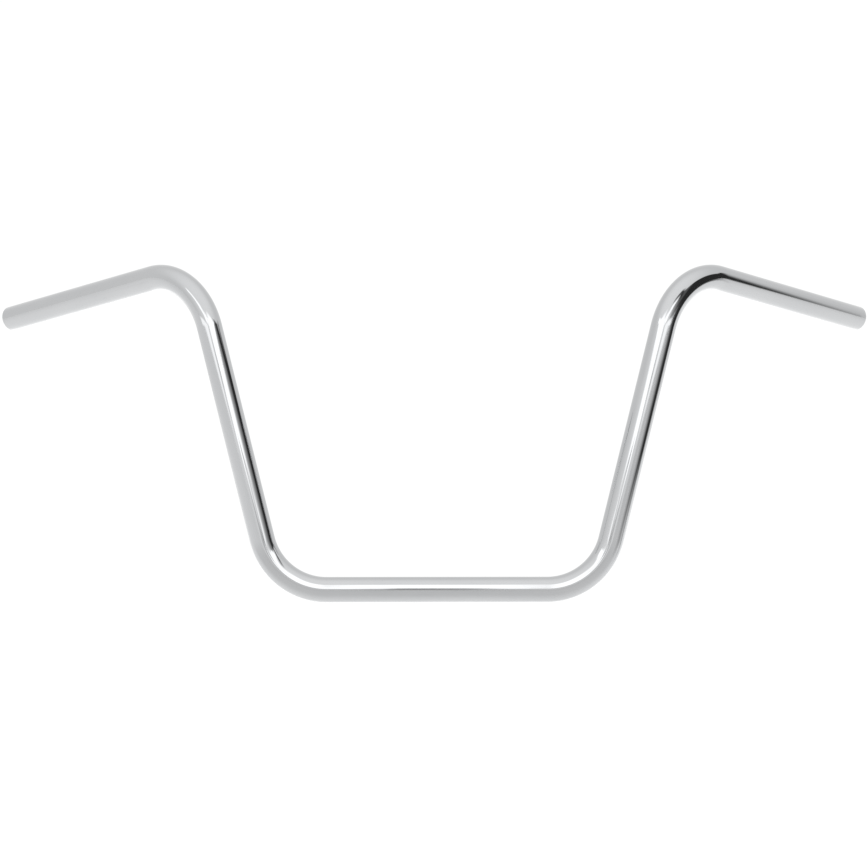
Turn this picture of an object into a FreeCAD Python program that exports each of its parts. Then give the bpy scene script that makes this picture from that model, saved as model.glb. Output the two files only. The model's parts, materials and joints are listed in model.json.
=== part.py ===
"""High-rise motorcycle handlebar: one bent tube, drawn as the straight runs and bends of its bend list.

Frame, in millimetres: the origin is the middle of the clamp span, on the tube's centreline. +X is the
rider's left, +Y points back to the rider, and +Z points up, in the plane that the two risers lean in.
"""

import FreeCAD, Part

import os

import Sketcher

DIMENSIONS = {
    # the tube, and the finish of its two cut ends
    "tube_diameter": 25.4,
    "tube_wall": 3.0,
    "rim_round": 1.0,
    "bore_chamfer": 0.5,
    # the straight run that the riser clamps hold
    "clamp_span": 220.0,
    # the lower bends turn the tube up, and leave it this many degrees from upright
    "lower_bend_radius": 66.0,
    "riser_lean": 14.0,
    "riser_length": 219.0,
    # the upper bends turn it out to the grips, which point back in plan and below level by these degrees
    "upper_bend_radius": 66.0,
    "grip_sweep": 42.0,
    "grip_drop": 7.5,
    "grip_length": 222.0,
}

# Each side of the bar is turned this many degrees about Z from the left one, and its upper bend
# twists the other way.
SIDES = {"left": (0, 1), "right": (180, -1)}

OUTER_RADIUS = "Dimensions.tube_diameter / 2"
INNER_RADIUS = "(Dimensions.tube_diameter / 2 - Dimensions.tube_wall)"

# A bend's turn is the angle between the directions that it joins. The riser points along
# (sin lean, 0, cos lean) and the grip along (cos drop cos sweep, cos drop sin sweep, -sin drop).
LOWER_TURN = "(90 - Dimensions.riser_lean)"
UPPER_TURN = (
    "acos(sin(Dimensions.riser_lean) * cos(Dimensions.grip_drop) * cos(Dimensions.grip_sweep)"
    " - cos(Dimensions.riser_lean) * sin(Dimensions.grip_drop))"
)

# The upper bend is twisted about the riser: seen along it, this much of the grip's direction lies
# across the plane of the risers, and this much lies in that plane, towards the middle of the bar.
ACROSS = "cos(Dimensions.grip_drop) * sin(Dimensions.grip_sweep)"
INWARD = (
    "-cos(Dimensions.riser_lean) * cos(Dimensions.grip_drop) * cos(Dimensions.grip_sweep)"
    " - sin(Dimensions.riser_lean) * sin(Dimensions.grip_drop)"
)
TWIST = f"atan2({ACROSS}; {INWARD})"

# turns a run that starts along Z to start along +X, with its own X axis up
ALONG_X = "rotation(vector(1; 0; 1); 180)"

SKETCH_SIZE = 10.0  # what a sketch is first drawn at, before its constraints are bound
SAME_LENGTH = 1e-6


def make_sheet(doc):
    """The driving dimensions, a row each, with the name as the alias of the value."""
    sheet = doc.addObject("Spreadsheet::Sheet", "Dimensions")
    for row, (name, value) in enumerate(DIMENSIONS.items(), start=1):
        sheet.set(f"A{row}", name)
        sheet.set(f"B{row}", str(value))
        sheet.setAlias(f"B{row}", name)
    doc.recompute()
    return sheet


def start_body(doc, name, start):
    body = doc.addObject("PartDesign::Body", name)
    body.Label = name
    body.setExpression("Placement", start)
    return body


def bind(sketch, constraint, name, value):
    index = sketch.addConstraint(constraint)
    sketch.renameConstraint(index, name)
    sketch.setExpression(f"Constraints.{name}", value)


def draw_ring(body):
    """The tube's section, drawn across the start of a run or bend."""
    sketch = body.newObject("Sketcher::SketchObject", f"{body.Name}_ring")
    plane = next(f for f in body.Origin.OriginFeatures if f.Role == "XY_Plane")
    sketch.AttachmentSupport = [(plane, "")]
    sketch.MapMode = "FlatFace"
    centre, normal = FreeCAD.Vector(0, 0, 0), FreeCAD.Vector(0, 0, 1)
    for name, radius in (("outer_radius", OUTER_RADIUS), ("inner_radius", INNER_RADIUS)):
        circle = sketch.addGeometry(Part.Circle(centre, normal, SKETCH_SIZE))
        sketch.addConstraint(Sketcher.Constraint("Coincident", circle, 3, -1, 1))
        bind(sketch, Sketcher.Constraint("Radius", circle, SKETCH_SIZE), name, radius)
    return sketch


def add_bend_axis(sketch, radius):
    """A construction line across the ring's X axis, at the bend's radius from the ring's centre."""
    low = FreeCAD.Vector(SKETCH_SIZE, -SKETCH_SIZE, 0)
    high = FreeCAD.Vector(SKETCH_SIZE, SKETCH_SIZE, 0)
    line = sketch.addGeometry(Part.LineSegment(low, high), True)
    sketch.addConstraint(Sketcher.Constraint("Symmetric", line, 1, line, 2, -1))
    bind(sketch, Sketcher.Constraint("DistanceY", line, 1, line, 2, SKETCH_SIZE), "axis_length", radius)
    bind(sketch, Sketcher.Constraint("DistanceX", -1, 1, line, 1, SKETCH_SIZE), "bend_radius", radius)


def make_run(doc, name, length, start):
    """A straight length of tube, along its own Z."""
    body = start_body(doc, name, start)
    pad = body.newObject("PartDesign::Pad", f"{name}_pad")
    pad.Profile = draw_ring(body)
    pad.setExpression("Length", length)
    return body


def make_bend(doc, name, radius, turn, start):
    """A bent length of tube, which starts along its own Z and curves towards its own X."""
    body = start_body(doc, name, start)
    sketch = draw_ring(body)
    add_bend_axis(sketch, radius)
    bend = body.newObject("PartDesign::Revolution", f"{name}_bend")
    bend.Profile = sketch
    bend.ReferenceAxis = (sketch, ["Axis0"])
    bend.setExpression("Angle", turn)
    return body


def after_run(body, length, twist="0"):
    """Where a run ends, turned about it by the twist."""
    end = f"placement(vector(0; 0; {length}); rotation(vector(0; 0; 1); {twist}))"
    return f"{body.Name}.Placement * {end}"


def after_bend(body, radius, turn):
    """Where a bend ends."""
    reach = f"vector({radius} * (1 - cos({turn})); 0; {radius} * sin({turn}))"
    return f"{body.Name}.Placement * placement({reach}; rotation(vector(0; 1; 0); {turn}))"


def rim_edge(shape, radius, height):
    """The name of the circular edge of this radius, at this height up a run."""
    for number, edge in enumerate(shape.Edges, start=1):
        curve = edge.Curve
        if not isinstance(curve, Part.Circle):
            continue
        if abs(curve.Radius - radius) < SAME_LENGTH and abs(curve.Center.z - height) < SAME_LENGTH:
            return f"Edge{number}"
    raise ValueError(f"no circular edge of radius {radius} at {height}")


def finish_cut_end(doc, sheet, body):
    """Round the outer rim of a run's free end, and chamfer the mouth of its bore."""
    doc.recompute()
    outer = sheet.tube_diameter / 2
    rim = body.newObject("PartDesign::Fillet", f"{body.Name}_rim")
    pad = body.getObject(f"{body.Name}_pad")
    rim.Base = (pad, [rim_edge(pad.Shape, outer, pad.Length.Value)])
    rim.setExpression("Radius", "Dimensions.rim_round")
    doc.recompute()
    mouth = body.newObject("PartDesign::Chamfer", f"{body.Name}_mouth")
    mouth.Base = (rim, [rim_edge(rim.Shape, outer - sheet.tube_wall, pad.Length.Value)])
    mouth.setExpression("Size", "Dimensions.bore_chamfer")


def make_side(doc, sheet, side):
    """One side of the bar, from the end of the clamp span out to the cut end of the grip."""
    turned, hand = SIDES[side]
    start = (
        f"placement(vector(0; 0; 0); rotation(vector(0; 0; 1); {turned}))"
        f" * placement(vector(Dimensions.clamp_span / 2; 0; 0); {ALONG_X})"
    )
    lower = ("Dimensions.lower_bend_radius", LOWER_TURN)
    upper = ("Dimensions.upper_bend_radius", UPPER_TURN)
    riser_length = "Dimensions.riser_length"
    lower_bend = make_bend(doc, f"{side}_lower_bend", *lower, start)
    riser = make_run(doc, f"{side}_riser", riser_length, after_bend(lower_bend, *lower))
    twisted = after_run(riser, riser_length, f"{-hand} * {TWIST}")
    upper_bend = make_bend(doc, f"{side}_upper_bend", *upper, twisted)
    grip = make_run(doc, f"{side}_grip_section", "Dimensions.grip_length", after_bend(upper_bend, *upper))
    finish_cut_end(doc, sheet, grip)
    return [lower_bend, riser, upper_bend, grip]


def make_clamp_section(doc):
    """The straight run across the middle, centred on the origin."""
    start = f"placement(vector(-Dimensions.clamp_span / 2; 0; 0); {ALONG_X})"
    return make_run(doc, "center_clamp_section", "Dimensions.clamp_span", start)


def check(doc, bodies):
    """Stop if anything in the document failed, or a section isn't one valid solid."""
    for item in doc.Objects:
        if {"Invalid", "Error"} & set(item.State):
            raise RuntimeError(f"{item.Name} failed: {item.State}")
    for body in bodies:
        shape = body.Shape
        if shape.isNull() or not shape.isValid() or len(shape.Solids) != 1:
            raise RuntimeError(f"{body.Label} isn't one valid solid")


def export(bodies):
    os.makedirs("parts", exist_ok=True)
    for body in bodies:
        body.Shape.exportStep(f"parts/{body.Label}.step")


def main():
    doc = FreeCAD.newDocument("handlebar")
    sheet = make_sheet(doc)
    bodies = [make_clamp_section(doc)]
    for side in SIDES:
        bodies += make_side(doc, sheet, side)
    doc.recompute()
    check(doc, bodies)
    export(bodies)


main()
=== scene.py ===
"""The looks of a chromed handlebar: one bent tube, swept along the frame's own lines.

It stands in a white light tent of cards, which make the white and dark lines in the chrome.
"""

import json
import math

import bpy
from mathutils import Matrix, Vector


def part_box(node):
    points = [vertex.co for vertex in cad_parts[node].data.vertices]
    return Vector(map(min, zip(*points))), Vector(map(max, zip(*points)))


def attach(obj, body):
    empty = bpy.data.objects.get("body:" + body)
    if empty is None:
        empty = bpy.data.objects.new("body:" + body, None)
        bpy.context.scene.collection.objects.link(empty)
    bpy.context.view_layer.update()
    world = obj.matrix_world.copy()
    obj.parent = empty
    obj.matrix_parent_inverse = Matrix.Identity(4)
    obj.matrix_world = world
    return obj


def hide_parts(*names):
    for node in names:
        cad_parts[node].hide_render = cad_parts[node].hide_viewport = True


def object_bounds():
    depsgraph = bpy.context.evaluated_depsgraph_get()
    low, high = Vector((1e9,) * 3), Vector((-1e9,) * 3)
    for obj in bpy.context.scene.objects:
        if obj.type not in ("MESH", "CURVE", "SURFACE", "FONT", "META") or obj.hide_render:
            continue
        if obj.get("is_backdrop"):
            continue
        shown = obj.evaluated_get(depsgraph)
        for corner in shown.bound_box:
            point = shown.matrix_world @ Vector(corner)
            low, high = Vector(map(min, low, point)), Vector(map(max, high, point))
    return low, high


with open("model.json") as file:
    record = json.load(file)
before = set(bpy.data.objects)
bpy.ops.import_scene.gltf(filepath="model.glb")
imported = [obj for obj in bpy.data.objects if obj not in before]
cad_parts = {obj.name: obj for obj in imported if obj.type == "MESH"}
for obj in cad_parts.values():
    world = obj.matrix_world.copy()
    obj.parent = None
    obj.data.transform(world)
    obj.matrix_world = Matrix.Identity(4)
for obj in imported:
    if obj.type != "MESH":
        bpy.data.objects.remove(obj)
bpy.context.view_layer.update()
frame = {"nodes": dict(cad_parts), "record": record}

MM = 0.001

# how finely the tube is drawn
SIDES_AROUND = 96
BEND_STEP = math.radians(1.5)
RUN_STEP = 12 * MM
RIM_STEPS = 6
SHARP_FROM = math.radians(30)

# how strong each light or card is, where 1 is the white of the picture
TENT_WHITE = 1.03
TENT_BRIGHT = 1.33
PANEL_LIGHT = 2.1
LOW_PANEL_LIGHT = 0.9 * PANEL_LIGHT
STAND_LIGHT = 0.84
CAMERA_SHADE_LIGHT = 0.68
CLIP_LIGHT = 0.4
FLAG_LIGHT = 0.04
LAMP_POWER = 60.0

# how far before the bar the panels and the camera's cards are, and how far one stands off another
NEAR, FAR = 0.574, 2.0
CAMERA_SHADE_AT, CAMERA_LENS_AT = 0.62, 0.6
STAND_OFF = 0.01

# how far out on the rider's left the black cloths are
CURTAIN_AT, LEANING_FLAG_AT, SMALL_FLAG_AT = 2.0, 0.5, 0.4

LAMP_PLACE = (0, 3.2, 2.2)
LAMP_SIZE = 3.0

FLOOR_DROP = 0.4
FLOOR_HALF_WIDTH = 12.0
# the paper's grey is painted shade, laid before the bar; its white is the paper's own
PAPER_PAINTED_SHADE = (0.77, 0.77, 0.77)
PAPER_WHITE = (0.95, 0.95, 0.95)

# the camera: its lens, how it is turned, and where the bar's origin is from it, across, ahead and up
SENSOR_WIDTH = 36.0
LENS = 116.46
PITCH, ROLL, YAW = math.radians(-2.27), math.radians(-0.04), math.radians(0.52)
ORIGIN_SEEN = Vector((2.81, 2800, -155.05)) * MM

# the plating, where it is clear and where it is hazed, and how deep its marks are
CHROME_CLEAR = (0.478, 0.485, 0.493)
CHROME_HAZED = (0.497, 0.503, 0.510)
RIPPLE_DEPTH = 0.012 * MM
POLISH_DEPTH = 0.0012 * MM

# the bare steel of the bore, and how deep its marks are
STEEL_DARK = (0.20, 0.20, 0.205)
STEEL_LIGHT = (0.34, 0.34, 0.345)
STEEL_BLOOM = (0.13, 0.085, 0.06)
DRAWN_DEPTH = 0.02 * MM
PITTED_DEPTH = 0.03 * MM

# the plating's flash into the bore
FLASH_COLOUR = (0.42, 0.425, 0.43)
FLASH_DEPTH = 6 * MM
FLASH_FADE = 9 * MM
FLASH_UNEVEN = 10 * MM


# ---- the tube's line and sizes, worked out from the frame ----


def mount(name):
    return next(m for m in frame["record"]["mounts"] if m["name"] == name)


def bend_radius(tangent, turn):
    return tangent / math.tan(turn / 2)


class Side:
    """One side of the bar: the corners that its straight runs' axes make, and the bends that round them."""

    def __init__(self, side):
        span, seat = mount("clamp_span"), mount(f"{side}_grip_seat")
        grip_middle, grip_way = Vector(seat["pos_m"]), Vector(seat["axis"])
        low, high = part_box(f"{side}_riser")
        riser_middle = (low + high) / 2
        # the grip's axis meets the plane that the risers lie in at the upper corner
        self.upper = grip_middle - grip_way * (grip_middle.y / grip_way.y)
        riser_way = (self.upper - riser_middle).normalized()
        self.lower = riser_middle - riser_way * (riser_middle.z / riser_way.z)
        lower_tangent = abs(self.lower.x) - span["dims"]["length_mm"] * MM / 2
        lower_turn = riser_way.angle(Vector((math.copysign(1, self.lower.x), 0, 0)))
        half_riser = (riser_middle - self.lower).length - lower_tangent
        upper_tangent = (self.upper - riser_middle).length - half_riser
        upper_turn = riser_way.angle(grip_way)
        self.lower_radius = bend_radius(lower_tangent, lower_turn)
        self.upper_radius = bend_radius(upper_tangent, upper_turn)
        half_grip = (grip_middle - self.upper).length - upper_tangent
        self.end = grip_middle + grip_way * half_grip
        self.grip_length = 2 * half_grip


left, right = Side("left"), Side("right")
OUTER = mount("clamp_span")["dims"]["r_mm"] * MM
BORE = mount("left_bar_end")["dims"]["r_mm"] * MM
RIM_ROUND = left.grip_length - mount("left_grip_seat")["dims"]["length_mm"] * MM
BORE_CHAMFER = left.grip_length - mount("left_bar_end")["dims"]["length_mm"] * MM


def rounded_line(corners, radii):
    """Points and directions along a line of straight runs, with an arc of its own radius at each corner."""
    points, ways = [], []
    here = corners[0]
    for before, corner, after, radius in zip(corners, corners[1:], corners[2:], radii):
        way, next_way = (corner - before).normalized(), (after - corner).normalized()
        turn = way.angle(next_way)
        tangent = radius * math.tan(turn / 2)
        start = corner - way * tangent
        add_run(points, ways, here, start, way)
        inward = (next_way - way * way.dot(next_way)).normalized()
        steps = max(2, round(turn / BEND_STEP))
        for k in range(1, steps):
            a = turn * k / steps
            points.append(start + way * radius * math.sin(a) + inward * radius * (1 - math.cos(a)))
            ways.append(way * math.cos(a) + inward * math.sin(a))
        here = corner + next_way * tangent
        last_way = next_way
    add_run(points, ways, here, corners[-1], last_way)
    return points, ways


def add_run(points, ways, start, end, way):
    steps = max(1, round((end - start).length / RUN_STEP))
    for k in range(steps + 1):
        points.append(start.lerp(end, k / steps))
        ways.append(way)


def carried_frames(ways):
    """A pair of directions across the line at each point, carried along it without twisting."""
    across = ways[0].orthogonal().normalized()
    frames = []
    for before, way in zip([ways[0]] + ways, ways):
        across = before.rotation_difference(way) @ across
        across = (across - way * across.dot(way)).normalized()
        frames.append((across, way.cross(across)))
    return frames


# ---- the tube ----


def end_profile():
    """The cut end in section, from the outer wall to the bore: (distance back from the end, radius)."""
    rim = []
    for k in range(RIM_STEPS + 1):
        a = math.pi / 2 * k / RIM_STEPS
        rim.append((RIM_ROUND * (1 - math.sin(a)), OUTER - RIM_ROUND * (1 - math.cos(a))))
    return rim + [(0.0, BORE + BORE_CHAMFER), (BORE_CHAMFER, BORE)]


def tube_rings():
    """The rings of the closed skin, out along the wall and back through the bore.

    Each is (centre, pair of directions across, radius, distance along the line, is it in the bore).
    """
    corners = [right.end, right.upper, right.lower, left.lower, left.upper, left.end]
    radii = [right.upper_radius, right.lower_radius, left.lower_radius, left.upper_radius]
    points, ways = rounded_line(corners, radii)
    pairs = carried_frames(ways)
    along = [0.0]
    for before, point in zip(points, points[1:]):
        along.append(along[-1] + (point - before).length)
    whole = along[-1]
    profile = end_profile()
    middle = list(zip(points, pairs, along))[1:-1]
    rings = []
    for back, radius in reversed(profile):
        rings.append((points[0] + ways[0] * back, pairs[0], radius, back, False))
    for point, pair, way_along in middle:
        rings.append((point, pair, OUTER, way_along, False))
    for back, radius in profile:
        rings.append((points[-1] - ways[-1] * back, pairs[-1], radius, whole - back, False))
    for point, pair, way_along in reversed(middle):
        rings.append((point, pair, BORE, way_along, True))
    return rings, whole


def build_tube():
    """The whole bar as one closed mesh, with its place on the tube stored for the materials to read."""
    rings, whole = tube_rings()
    turns = [2 * math.pi * k / SIDES_AROUND for k in range(SIDES_AROUND)]
    verts, places, depths = [], [], []
    for centre, (u, v), radius, along, _ in rings:
        for a in turns:
            verts.append(centre + (u * math.cos(a) + v * math.sin(a)) * radius)
            places.append((along, radius * math.cos(a), radius * math.sin(a)))
            depths.append(min(along, whole - along))
    faces, in_bore = [], []
    for i, ring in enumerate(rings):
        j = (i + 1) % len(rings)
        for k in range(SIDES_AROUND):
            m = (k + 1) % SIDES_AROUND
            faces.append([row * SIDES_AROUND + column for row, column in ((i, k), (j, k), (j, m), (i, m))])
            in_bore.append(ring[-1] or rings[j][-1])
    mesh = bpy.data.meshes.new("handlebar_tube")
    mesh.from_pydata(verts, [], faces)
    mesh.polygons.foreach_set("use_smooth", [True] * len(faces))
    mesh.polygons.foreach_set("material_index", [int(bare) for bare in in_bore])
    mesh.set_sharp_from_angle(angle=SHARP_FROM)
    place = mesh.attributes.new("tube_place", "FLOAT_VECTOR", "POINT")
    place.data.foreach_set("vector", [value for spot in places for value in spot])
    depth = mesh.attributes.new("from_end", "FLOAT", "POINT")
    depth.data.foreach_set("value", depths)
    tube = bpy.data.objects.new("handlebar_tube", mesh)
    bpy.context.scene.collection.objects.link(tube)
    return tube


# ---- materials ----


class Shader:
    """A material's or world's node tree, with its nodes added and joined in one line each."""

    def __init__(self, owner):
        self.owner = owner
        owner.use_nodes = True
        self.tree = owner.node_tree

    def join(self, source, socket):
        """Feed a socket from another node's output, or set its value."""
        if isinstance(source, bpy.types.NodeSocket):
            self.tree.links.new(source, socket)
        else:
            socket.default_value = source

    def node(self, kind, inputs, **settings):
        made = self.tree.nodes.new(kind)
        for key, value in settings.items():
            setattr(made, key, value)
        for key, source in inputs.items():
            self.join(source, made.inputs[key])
        return made

    def finish(self, **sockets):
        """Set the Principled surface's sockets, named with _ for each space."""
        surface = self.tree.nodes["Principled BSDF"]
        for name, source in sockets.items():
            self.join(source, surface.inputs[name.replace("_", " ")])
        return self.owner

    def attribute(self, name, output="Fac"):
        return self.node("ShaderNodeAttribute", {}, attribute_name=name).outputs[output]

    def axes(self, output):
        place = self.node("ShaderNodeTexCoord", {}).outputs[output]
        return self.node("ShaderNodeSeparateXYZ", {0: place}).outputs

    def math(self, operation, a, b=0.0):
        return self.node("ShaderNodeMath", {0: a, 1: b}, operation=operation).outputs[0]

    def ramp(self, value, start, end, low=0.0, high=1.0):
        """A smooth step from low, where the value is at its start, to high at its end."""
        limits = {"Value": value, "From Min": start, "From Max": end, "To Min": low, "To Max": high}
        return self.node("ShaderNodeMapRange", limits, interpolation_type="SMOOTHSTEP").outputs["Result"]

    def noise(self, stretch, detail=2.0, roughness=0.5):
        """Noise over the tube, with this many grains a metre along it and across it."""
        along, across = stretch
        place = {0: self.attribute("tube_place", "Vector"), 1: (along, across, across)}
        scaled = self.node("ShaderNodeVectorMath", place, operation="MULTIPLY").outputs[0]
        settings = {"Vector": scaled, "Scale": 1.0, "Detail": detail, "Roughness": roughness}
        return self.node("ShaderNodeTexNoise", settings).outputs["Fac"]

    def between(self, factor, low, high):
        """A colour part of the way from low to high."""
        mixed = self.node("ShaderNodeMix", {0: factor}, data_type="RGBA")
        for colour, name in ((low, "A_Color"), (high, "B_Color")):
            socket = next(s for s in mixed.inputs if s.identifier == name)
            self.join(colour if isinstance(colour, bpy.types.NodeSocket) else (*colour, 1.0), socket)
        return next(s for s in mixed.outputs if s.identifier == "Result_Color")

    def bump(self, height, depth, under=None):
        inputs = {"Height": height, "Distance": depth, "Strength": 1.0}
        if under is not None:
            inputs["Normal"] = under
        return self.node("ShaderNodeBump", inputs).outputs["Normal"]


def chrome():
    """Bright plating, polished along the tube, with a slight ripple, fine lines and patches of thin haze."""
    shader = Shader(bpy.data.materials.new("chrome"))
    haze = shader.noise((14, 60), detail=4.0)
    lines = shader.noise((9, 900), detail=3.0, roughness=0.6)
    ripple = shader.noise((60, 160))
    dull_in_haze = shader.ramp(haze, 0.35, 0.7, 0.03, 0.065)
    dull_in_lines = shader.ramp(lines, 0.4, 0.7, 0.0, 0.035)
    rippled = shader.bump(ripple, RIPPLE_DEPTH)
    return shader.finish(
        Metallic=1.0,
        Base_Color=shader.between(shader.ramp(haze, 0.3, 0.7), CHROME_CLEAR, CHROME_HAZED),
        Roughness=shader.math("ADD", dull_in_haze, dull_in_lines),
        Normal=shader.bump(lines, POLISH_DEPTH, rippled),
    )


def bare_steel():
    """The bore: drawn steel with a brown bloom, and a flash of plating near its mouth."""
    shader = Shader(bpy.data.materials.new("bare_steel"))
    draw_lines = shader.noise((12, 700), detail=3.0)
    blotches = shader.noise((70, 140), detail=5.0, roughness=0.65)
    steel = shader.between(shader.ramp(draw_lines, 0.3, 0.7), STEEL_DARK, STEEL_LIGHT)
    aged = shader.between(shader.ramp(blotches, 0.45, 0.75, 0.0, 0.55), steel, STEEL_BLOOM)
    # the plating's edge is uneven, and thins out over its width
    edge = shader.math("ADD", shader.attribute("from_end"), shader.math("MULTIPLY", blotches, FLASH_UNEVEN))
    flash = shader.ramp(edge, FLASH_DEPTH, FLASH_DEPTH + FLASH_FADE, 1.0, 0.0)
    drawn = shader.bump(draw_lines, DRAWN_DEPTH)
    return shader.finish(
        Metallic=1.0,
        Base_Color=shader.between(flash, aged, FLASH_COLOUR),
        Roughness=shader.ramp(flash, 0.0, 1.0, 0.48, 0.2),
        Normal=shader.bump(blotches, PITTED_DEPTH, drawn),
    )


def paper():
    """White floor paper with painted shade: before the bar it is painted greyer, least so far out on the
    rider's right.
    """
    shader = Shader(bpy.data.materials.new("floor_paper"))
    across, back, _ = shader.axes("Object")
    # painted shade: greyer before the bar, fading out far to the sides, fully on the rider's right and a
    # little on the left
    behind = shader.ramp(back, -0.4, 0.2)
    at_right = shader.ramp(across, -0.8, -2.2)
    at_left = shader.ramp(across, 0.8, 2.2, 0.0, 0.3)
    white = shader.math("MAXIMUM", behind, shader.math("MAXIMUM", at_right, at_left))
    return shader.finish(
        Base_Color=shader.between(white, PAPER_PAINTED_SHADE, PAPER_WHITE),
        Roughness=1.0,
        Specular_IOR_Level=0.0,
    )


def glow(name, strength):
    """A light of its own, seen as far as the card's own attribute says."""
    shader = Shader(bpy.data.materials.new(name))
    shader.tree.nodes.clear()
    clear = shader.node("ShaderNodeBsdfTransparent", {}).outputs[0]
    light = shader.node("ShaderNodeEmission", {"Strength": strength}).outputs[0]
    mixed = shader.node("ShaderNodeMixShader", {0: shader.attribute("seen"), 1: clear, 2: light}).outputs[0]
    shader.node("ShaderNodeOutputMaterial", {"Surface": mixed})
    return shader.owner


# ---- the light tent: each card is seen only in reflections, and fades out at its edges ----


def facing(distance, side=1):
    """Places a card's points, given as (across, up), this far before the bar. A side of -1 mirrors them."""
    return lambda across, up: (side * across, -distance, up)


def beside(distance):
    """Places a card's points, given as (back, up), this far out on the rider's left."""
    return lambda back, up: (distance, back, up)


def add_card(name, verts, faces, seen, light):
    mesh = bpy.data.meshes.new(name)
    mesh.from_pydata(verts, [], faces)
    mesh.attributes.new("seen", "FLOAT", "POINT").data.foreach_set("value", seen)
    mesh.materials.append(glow(name, light))
    made = bpy.data.objects.new(name, mesh)
    bpy.context.scene.collection.objects.link(made)
    made.visible_camera = False
    made.visible_diffuse = False
    made.visible_shadow = False
    made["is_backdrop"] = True


def soft_card(name, place, across, up, light, lift=None):
    """A card whose strength runs straight from one (position, strength) pair to the next, both ways.

    Where its columns start at different heights, lift gives the height of each.
    """
    lift = lift or [0.0] * len(across)
    verts = [place(a, start + b) for b, _ in up for (a, _), start in zip(across, lift)]
    seen = [strength * height for _, height in up for _, strength in across]
    wide = len(across)
    faces = []
    for row in range(len(up) - 1):
        for column in range(wide - 1):
            k = row * wide + column
            faces.append((k, k + 1, k + wide + 1, k + wide))
    add_card(name, verts, faces, seen, light)


def light_panels():
    """Soft panels before the bar: a near one and a far one in the middle, and two far ones at each side."""
    soft_card("middle_panel", facing(NEAR), [(-0.23, 0), (-0.09, 1), (0.09, 1), (0.23, 0)],
              [(0.2, 0), (0.225, 1), (0.5, 1), (0.6, 0)], PANEL_LIGHT)
    soft_card("far_panel", facing(FAR), [(-0.26, 0), (-0.16, 1), (0.16, 1), (0.26, 0)],
              [(0.17, 0), (0.2, 0.5), (0.28, 1), (0.8, 1), (0.9, 0)], PANEL_LIGHT)
    for hand, side in (("left", 1), ("right", -1)):
        soft_card(f"{hand}_low_panel", facing(FAR, side),
                  [(0.55, 0), (0.68, 1), (1.1, 0.95), (1.5, 1), (2.0, 1), (2.7, 0.9), (3.6, 0)],
                  [(0.12, 0), (0.21, 1), (0.37, 1), (0.45, 0)], LOW_PANEL_LIGHT,
                  lift=[0.0, 0.0, 0.0, -0.01, -0.05, -0.16, -0.3])
        soft_card(f"{hand}_high_panel", facing(FAR, side),
                  [(0.2, 0), (0.28, 1), (0.8, 1), (0.98, 1), (1.4, 1), (2.2, 1), (2.7, 1), (2.8, 0)],
                  [(0.0, 0), (0.08, 1), (0.4, 1), (0.6, 0)], PANEL_LIGHT,
                  lift=[0.40, 0.41, 0.48, 0.68, 0.82, 1.25, 1.45, 1.5])


def dim_cards():
    """Dimmer cards before the bar: a stand, the camera's shade and lens, and a clip at each side."""
    soft_card("stand", facing(FAR + STAND_OFF), [(-0.26, 0), (-0.2, 1), (0.2, 1), (0.26, 0)],
              [(-0.1, 0), (0.1, 1), (0.3, 1), (0.31, 0)], STAND_LIGHT)
    soft_card("camera_shade", facing(CAMERA_SHADE_AT), [(-0.1, 0), (-0.03, 0.8), (0.03, 0.8), (0.1, 0)],
              [(-0.12, 0), (-0.03, 0.9), (0.09, 0.9), (0.13, 0)], CAMERA_SHADE_LIGHT)
    soft_card("lens", facing(CAMERA_LENS_AT), [(-0.06, 0), (-0.04, 1), (-0.005, 1), (0.05, 0.5), (0.08, 0)],
              [(0.02, 0), (0.045, 1), (0.085, 1), (0.11, 0)], FLAG_LIGHT)
    for hand, side in (("left", 1), ("right", -1)):
        soft_card(f"{hand}_clip", facing(FAR - STAND_OFF, side),
                  [(0.2, 0), (0.25, 1), (0.3, 1), (0.38, 0)],
                  [(0.31, 0), (0.34, 1), (0.37, 1), (0.4, 0)], CLIP_LIGHT)


def dark_flags():
    """Black cloth at the rider's left: a wide soft curtain, a leaning flag, and a small one closest."""
    soft_card("curtain", beside(CURTAIN_AT),
              [(-3.3, 0), (-2.2, 0.5), (-1.25, 0.75), (-0.8, 1), (-0.05, 1),
               (0.08, 1), (0.18, 0.6), (0.26, 0.28), (0.36, 0.1), (0.8, 0)],
              [(0.0, 0), (0.2, 1), (1.0, 1), (1.12, 0)], FLAG_LIGHT,
              lift=[0.3, 0.25, 0.15, 0.1, -0.05, 0.1, 0.12, 0.12, 0.12, 0.12])
    soft_card("leaning_flag", beside(LEANING_FLAG_AT),
              [(-0.95, 0), (-0.7, 0.55), (-0.5, 0.75), (-0.32, 0.95), (-0.23, 1), (-0.18, 0.6), (-0.14, 0)],
              [(-0.16, 0), (-0.08, 1), (-0.03, 1), (0.03, 0)], FLAG_LIGHT,
              lift=[0.82, 0.74, 0.66, 0.58, 0.48, 0.42, 0.38])
    soft_card("small_flag", beside(SMALL_FLAG_AT),
              [(-0.2, 0), (-0.12, 0.35), (-0.06, 0.9), (-0.03, 1),
               (0.015, 1), (0.035, 0.75), (0.05, 0.45), (0.085, 0)],
              [(-0.09, 0), (0.03, 1), (0.235, 1), (0.26, 0)], FLAG_LIGHT,
              lift=[0.0, 0.0, 0.04, 0.07, 0.07, 0.0, -0.05, -0.1])


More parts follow.
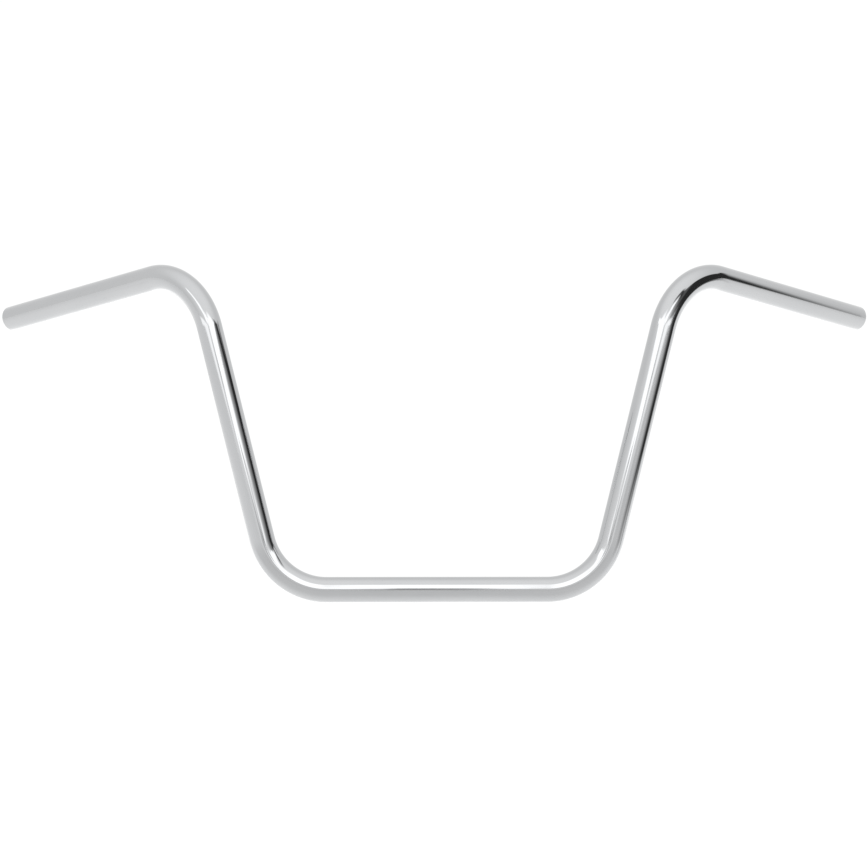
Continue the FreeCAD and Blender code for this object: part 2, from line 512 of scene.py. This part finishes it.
def floor():
    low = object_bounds()[0].z - FLOOR_DROP
    mesh = bpy.data.meshes.new("floor")
    w = FLOOR_HALF_WIDTH
    mesh.from_pydata([(-w, -w, low), (w, -w, low), (w, w, low), (-w, w, low)], [], [(0, 1, 2, 3)])
    mesh.materials.append(paper())
    made = bpy.data.objects.new("floor", mesh)
    bpy.context.scene.collection.objects.link(made)
    made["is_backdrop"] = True


def back_lamp():
    """Lights the paper behind the bar."""
    lamp = bpy.data.lights.new("back_lamp", "AREA")
    lamp.size = LAMP_SIZE
    lamp.energy = LAMP_POWER
    made = bpy.data.objects.new("back_lamp", lamp)
    made.location = LAMP_PLACE
    made.visible_glossy = False
    made.visible_camera = False
    bpy.context.scene.collection.objects.link(made)


def tent_walls():
    """White all round, and a little brighter up in front."""
    world = bpy.data.worlds.new("tent")
    bpy.context.scene.world = world
    shader = Shader(world)
    _, back, up = shader.axes("Generated")
    in_front = shader.math("MULTIPLY", shader.math("SUBTRACT", up, back), math.sqrt(0.5))
    strength = shader.ramp(in_front, 0.25, 1.0, TENT_WHITE, TENT_BRIGHT)
    shader.join(strength, shader.tree.nodes["Background"].inputs["Strength"])
    shader.join((1, 1, 1, 1), shader.tree.nodes["Background"].inputs["Color"])


def camera():
    """The picture's view: nearly along +Y, from a little above the clamp span."""
    data = bpy.data.cameras.new("camera")
    data.sensor_width = SENSOR_WIDTH
    data.lens = LENS
    made = bpy.data.objects.new("camera", data)
    turn = Matrix.Rotation(YAW, 3, "Z") @ Matrix.Rotation(ROLL, 3, "Y") @ Matrix.Rotation(PITCH, 3, "X")
    level = Matrix(((1, 0, 0), (0, 0, -1), (0, 1, 0)))
    place = turn.transposed() @ -ORIGIN_SEEN
    made.matrix_world = Matrix.Translation(place) @ (turn.transposed() @ level).to_4x4()
    bpy.context.scene.collection.objects.link(made)
    bpy.context.scene.camera = made


tube = build_tube()
tube.data.materials.append(chrome())
tube.data.materials.append(bare_steel())
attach(tube, "root")
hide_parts(*frame["nodes"])

light_panels()
dim_cards()
dark_flags()
floor()
back_lamp()
tent_walls()
camera()
bpy.context.scene.view_settings.view_transform = "Standard"
